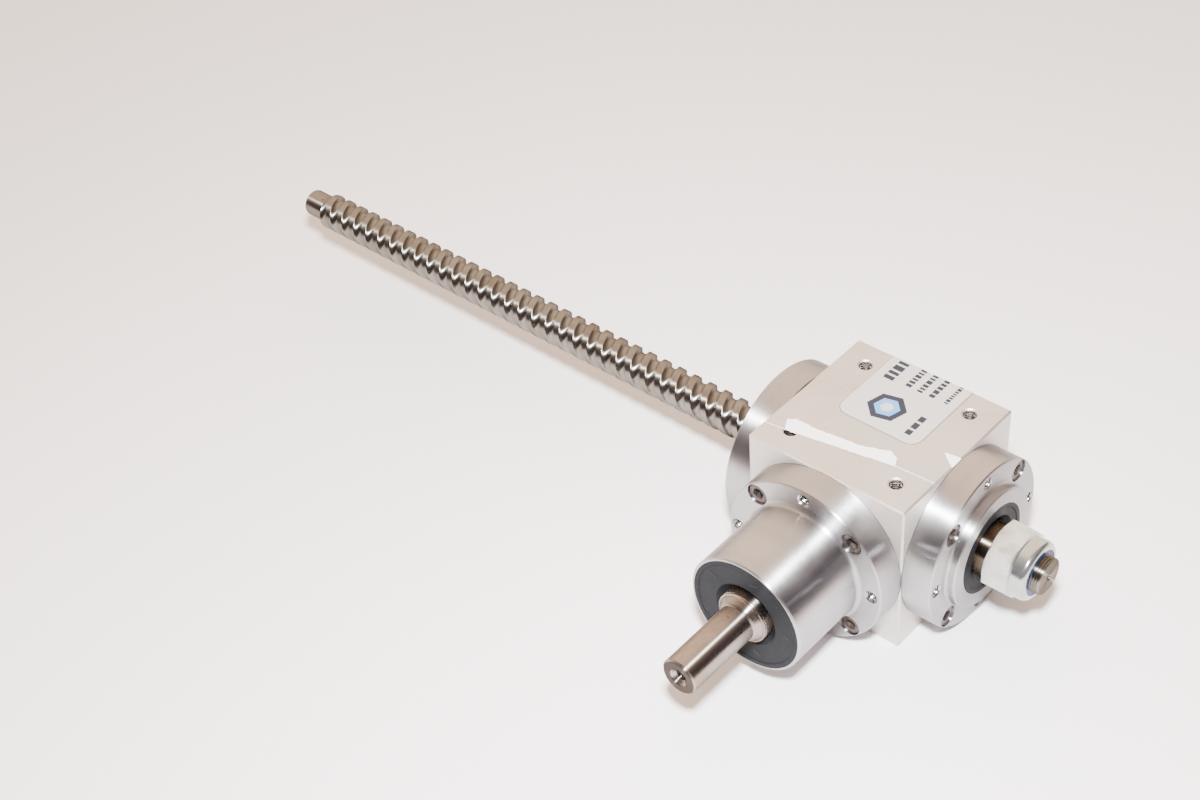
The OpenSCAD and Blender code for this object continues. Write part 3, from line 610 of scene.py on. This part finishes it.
# five rows of bars stand in for print: x from and to, where the row starts and a bar's usual length
BAR_ROWS = [(-13.4, -9.2, 20.3, 2.6), (-4.4, -2.0, 21.0, 1.7), (0.6, 2.8, 20.9, 1.7), (5.4, 7.6, 21.1, 1.7),
            (11.6, 13.2, 21.3, 1.2)]
bars = ([], [])
for x0, x1, start, width in BAR_ROWS:
    y = start
    while y < FAR - 0.3:
        w = width * random.uniform(0.55, 1.25)
        y1 = min(y + w, FAR - 0.05)
        add(bars, bar(x0, x1, y, y1))
        y = y1 + width * 0.38
# three wider bars stand in for a name
y = 0.2
for w in (2.6, 3.2, 2.9):
    add(bars, bar(9.6, 12.0, y, y + w))
    y += w + 1.0
make("label_bars", *bars, INK, "gearbox", "label_film")


def hexagon(name, r, lift, material):
    """One layer of the plain hexagon that stands in for a mark."""
    cx, cy, turn = -2.6, 7.6, 0.26
    outline = [(cx + r * cos(turn + pi / 3 * i), cy + r * sin(turn + pi / 3 * i)) for i in range(6)]
    layer = plate(outline, LABEL_TOP + lift - SUNK, LABEL_TOP + lift + INK_T)
    make(name, *layer, material, "gearbox", "label_film")


hexagon("label_hexagon", 7.4, 0.0, INK)
hexagon("label_hexagon_inner", 4.9, 0.02, INK_BLUE)
hexagon("label_hexagon_middle", 2.5, 0.04, LABEL)


def ragged(points, step=1.2, size=0.22):
    """Adds small seeded wobbles along an outline, as a torn edge has."""
    out = []
    for (x0, y0), (x1, y1) in zip(points, points[1:] + points[:1]):
        length = math.hypot(x1 - x0, y1 - y0)
        n = max(1, int(length / step))
        for i in range(n):
            t = i / n
            jitter = random.uniform(-size, size) if i else 0
            out.append((x0 + (x1 - x0) * t - (y1 - y0) / length * jitter,
                        y0 + (y1 - y0) * t + (x1 - x0) / length * jitter))
    return out


# the torn strip, a torn corner by the front flange, and the line that the tape's edge has left
STRIP = [(-26.6, -18.0), (-24.1, -22.9), (16.9, -15.3), (16.1, -13.9), (15.0, -11.5), (11.6, -9.8),
         (8.6, -11.2), (1.9, -13.7), (-15.0, -16.2), (-23.9, -16.0)]
WEDGE = [(26.2, 0.4), (29.3, -2.2), (32.4, -4.6), (32.4, 1.0), (31.6, 1.4)]
EDGE_LINES = [((-31.9, -23.9), (-24.0, -22.9)), ((16.8, -15.3), (31.9, -14.3))]
EDGE_LINE_W = 0.22
make("tape_strip", *plate(ragged(STRIP), TOP - SUNK, TOP + TAPE_T), TAPE, "gearbox", "label_film")
make("tape_wedge", *plate(ragged(WEDGE, 0.9, 0.12), TOP - SUNK, TOP + TAPE_T), TAPE, "gearbox", "label_film")
edges = ([], [])
for (x0, y0), (x1, y1) in EDGE_LINES:
    outline = [(x0, y0), (x1, y1), (x1, y1 + EDGE_LINE_W), (x0, y0 + EDGE_LINE_W)]
    add(edges, plate(outline, TOP - SUNK, TOP + LINE_T))
make("tape_edges", *edges, TAPE, "gearbox", "label_film")


def sticker_outline(grow):
    """The label's outline, moved out by a small distance, with its two near corners rounded."""
    w, r, near = 16.7 + grow, 4.5 + grow, -3.6 - grow
    points = [(w, FAR), (-w, FAR)]
    for cx, first in ((-w + r, pi), (w - r, 1.5 * pi)):
        angles = [first + pi / 2 * k / 10 for k in range(11)]
        points += [(cx + r * cos(a), near + r + r * sin(a)) for a in angles]
    return points


def painted_edge_shadow():
    """A thin dark band of painted shadow round the label's three free sides. Its inner part lies inside the
    label.
    """
    outer, inside = sticker_outline(0.30), sticker_outline(-0.1)
    verts = [Vector((x, y, z)) * MM for z in (TOP - SUNK, TOP + EDGE_SHADOW_T) for x, y in outer + inside]
    faces, n = [], len(outer)
    for i in range(1, n):
        j = (i + 1) % n
        faces.append((i, j, n + j, n + i))
        faces.append((2 * n + i, 3 * n + i, 3 * n + j, 2 * n + j))
        faces.append((i, 2 * n + i, 2 * n + j, j))
        faces.append((n + i, n + j, 3 * n + j, 3 * n + i))
    for i in (0, 1):
        faces.append((i, n + i, 3 * n + i, 2 * n + i))
    return verts, faces


# a thin band of painted shadow along the label's free edge
make("label_painted_edge_shadow", *painted_edge_shadow(), EDGE_SHADOW_PAINT, "gearbox", "label_film")

# raised bars moulded in the input seal's face, as (x, z) from its middle, their half width and two heights
SEAL_MARKS = [((-15.1, 11.2), (-11.3, 9.8)), ((15.6, 0.8), (18.5, -0.1)), ((3.1, -15.4), (6.1, -16.9)),
              ((-16.9, -9.7), (-16.1, -13.3)), ((2.0, 15.6), (5.2, 16.6))]
MARK_HALF_W, MARK_FOOT, MARK_TOP, MARK_TAPER = 0.30, 76.15, 76.42, 0.75


def seal_mark(x0, z0, x1, z1):
    """A bar from one point to another, with its top smaller than its foot."""
    length = math.hypot(x1 - x0, z1 - z0)
    ux, uz = (x1 - x0) / length * MARK_HALF_W, (z1 - z0) / length * MARK_HALF_W
    foot = [(x0 - uz, z0 + ux), (x1 - uz, z1 + ux), (x1 + uz, z1 - ux), (x0 + uz, z0 - ux)]
    mx, mz = (x0 + x1) / 2, (z0 + z1) / 2
    verts = []
    for depth, k in ((MARK_FOOT, 1.0), (MARK_TOP, MARK_TAPER)):
        verts += [Vector((mx + (x - mx) * k, -depth, AXIS + mz + (z - mz) * k)) * MM for x, z in foot]
    sides = [(i, (i + 1) % 4, 4 + (i + 1) % 4, 4 + i) for i in range(4)]
    return verts, [(0, 1, 2, 3), (7, 6, 5, 4)] + sides


marks = ([], [])
for (x0, z0), (x1, z1) in SEAL_MARKS:
    add(marks, seal_mark(x0, z0, x1, z1))
make("input_seal_marks", *marks, NITRILE, "gearbox", "seal_rubber")


# ---------------------------------------------------------------- floor, light, camera

FLOOR_R, FLOOR_SIDES, FLOOR_GAP = 9.0, 96, 0.00002


def floor_material():
    m = Net("pale_floor")
    cloud = m.noise(m.coord, 1.6, 3.0)
    fine = m.noise(m.coord, 900, 3.0)
    m.set(Base_Color=m.mix(m.span(cloud, 0.3, 0.7, 0.0, 1.0), (0.79, 0.755, 0.755), (0.83, 0.80, 0.80)),
          Roughness=0.62, Specular_IOR_Level=0.25, Normal=m.bump(fine, 1e-5, 0.3))
    return m.mat


floor_mesh = bpy.data.meshes.new("floor")
turns = [2 * pi * i / FLOOR_SIDES for i in range(FLOOR_SIDES)]
rim = [(FLOOR_R * cos(a), FLOOR_R * sin(a), 0) for a in turns]
floor_mesh.from_pydata(rim, [], [tuple(range(FLOOR_SIDES))])
floor_mesh.materials.append(floor_material())
floor = bpy.data.objects.new("floor", floor_mesh)
floor.location = (0, 0, CAD_BOX[0].z - FLOOR_GAP)
bpy.context.scene.collection.objects.link(floor)

# one small lamp above the camera, as a flash is, that fades towards the sides
LAMP_AT, LAMP_AIM = (0.23, -0.348, 0.611), (-0.03, -0.02, 0.0)
lamp_data = bpy.data.lights.new("key", "AREA")
lamp_data.shape, lamp_data.size, lamp_data.spread = "DISK", 0.075, radians(125)
lamp_data.energy, lamp_data.color = 13.5, (0.97, 1.0, 1.03)
lamp = bpy.data.objects.new("key", lamp_data)
lamp.location = LAMP_AT
lamp.rotation_mode = "QUATERNION"
lamp.rotation_quaternion = (Vector(LAMP_AT) - Vector(LAMP_AIM)).to_track_quat("Z", "Y")
bpy.context.scene.collection.objects.link(lamp)

world = bpy.data.worlds.new("studio")
bpy.context.scene.world = world
world.use_nodes = True
sky = world.node_tree
sky.nodes.clear()
direction = sky.nodes.new("ShaderNodeTexCoord").outputs["Generated"]


def towards(vector):
    """How far a direction points along a vector, from -1 to 1."""
    n = sky.nodes.new("ShaderNodeVectorMath")
    n.operation = "DOT_PRODUCT"
    sky.links.new(direction, n.inputs[0])
    n.inputs[1].default_value = Vector(vector).normalized()
    return n.outputs["Value"]


def sky_ramp(value, *stops):
    n = sky.nodes.new("ShaderNodeValToRGB")
    sky.links.new(value, n.inputs[0])
    elements = n.color_ramp.elements
    while len(elements) < len(stops):
        elements.new(0.5)
    for e, (position, color) in zip(elements, stops):
        e.position, e.color = position, (*color, 1)
    return n.outputs[0]


def glow(color, strength):
    """A background of one strength. The color is a socket or three numbers."""
    n = sky.nodes.new("ShaderNodeBackground")
    if isinstance(color, tuple):
        n.inputs[0].default_value = (*color, 1)
    else:
        sky.links.new(color, n.inputs[0])
    n.inputs[1].default_value = strength
    return n.outputs[0]


# a warm pale sheet rises behind the object, the room beside and before it is dark, the ceiling is dim
height = towards((0, 0, 1))
dark = sky_ramp(height, (0.0, (0.045, 0.04, 0.045)), (0.50, (0.06, 0.05, 0.055)), (0.90, (0.28, 0.20, 0.15)))
sheet = sky_ramp(height, (0.0, (1.0, 0.80, 0.62)), (0.60, (1.0, 0.74, 0.54)), (0.95, (0.95, 0.72, 0.54)))
sheet_part = sky_ramp(towards((-0.72, 0.50, 0.45)), (0.42, (0, 0, 0)), (0.60, (1, 1, 1)))
blend = sky.nodes.new("ShaderNodeMix")
blend.data_type = "RGBA"
sky.links.new(sheet_part, blend.inputs[0])
sky.links.new(dark, blend.inputs[6])
sky.links.new(sheet, blend.inputs[7])
# past the floor's edge the camera sees plain pale paper
choice = sky.nodes.new("ShaderNodeMixShader")
sky.links.new(sky.nodes.new("ShaderNodeLightPath").outputs["Is Camera Ray"], choice.inputs[0])
sky.links.new(glow(blend.outputs[2], 3.6), choice.inputs[1])
sky.links.new(glow((0.80, 0.775, 0.765), 2.0), choice.inputs[2])
sky.links.new(choice.outputs[0], sky.nodes.new("ShaderNodeOutputWorld").inputs[0])

CAMERA_AT = (0.28102, -0.41607, 0.51323)
AZIMUTH, ELEVATION, ROLL = radians(45.06), radians(40.86), radians(-5.28)
cam_data = bpy.data.cameras.new("camera")
cam_data.lens, cam_data.sensor_width = 57.67, 36.0
cam_data.clip_start, cam_data.clip_end = 0.01, 50.0
camera = bpy.data.objects.new("camera", cam_data)
bpy.context.scene.collection.objects.link(camera)
back = Vector((sin(AZIMUTH) * cos(ELEVATION), -cos(AZIMUTH) * cos(ELEVATION), sin(ELEVATION)))
level = Vector((0, 0, 1)).cross(back).normalized()
upright = back.cross(level)
right = cos(ROLL) * level + sin(ROLL) * upright
up = -sin(ROLL) * level + cos(ROLL) * upright
camera.matrix_world = Matrix.Translation(CAMERA_AT) @ Matrix((right, up, back)).transposed().to_4x4()
bpy.context.scene.camera = camera
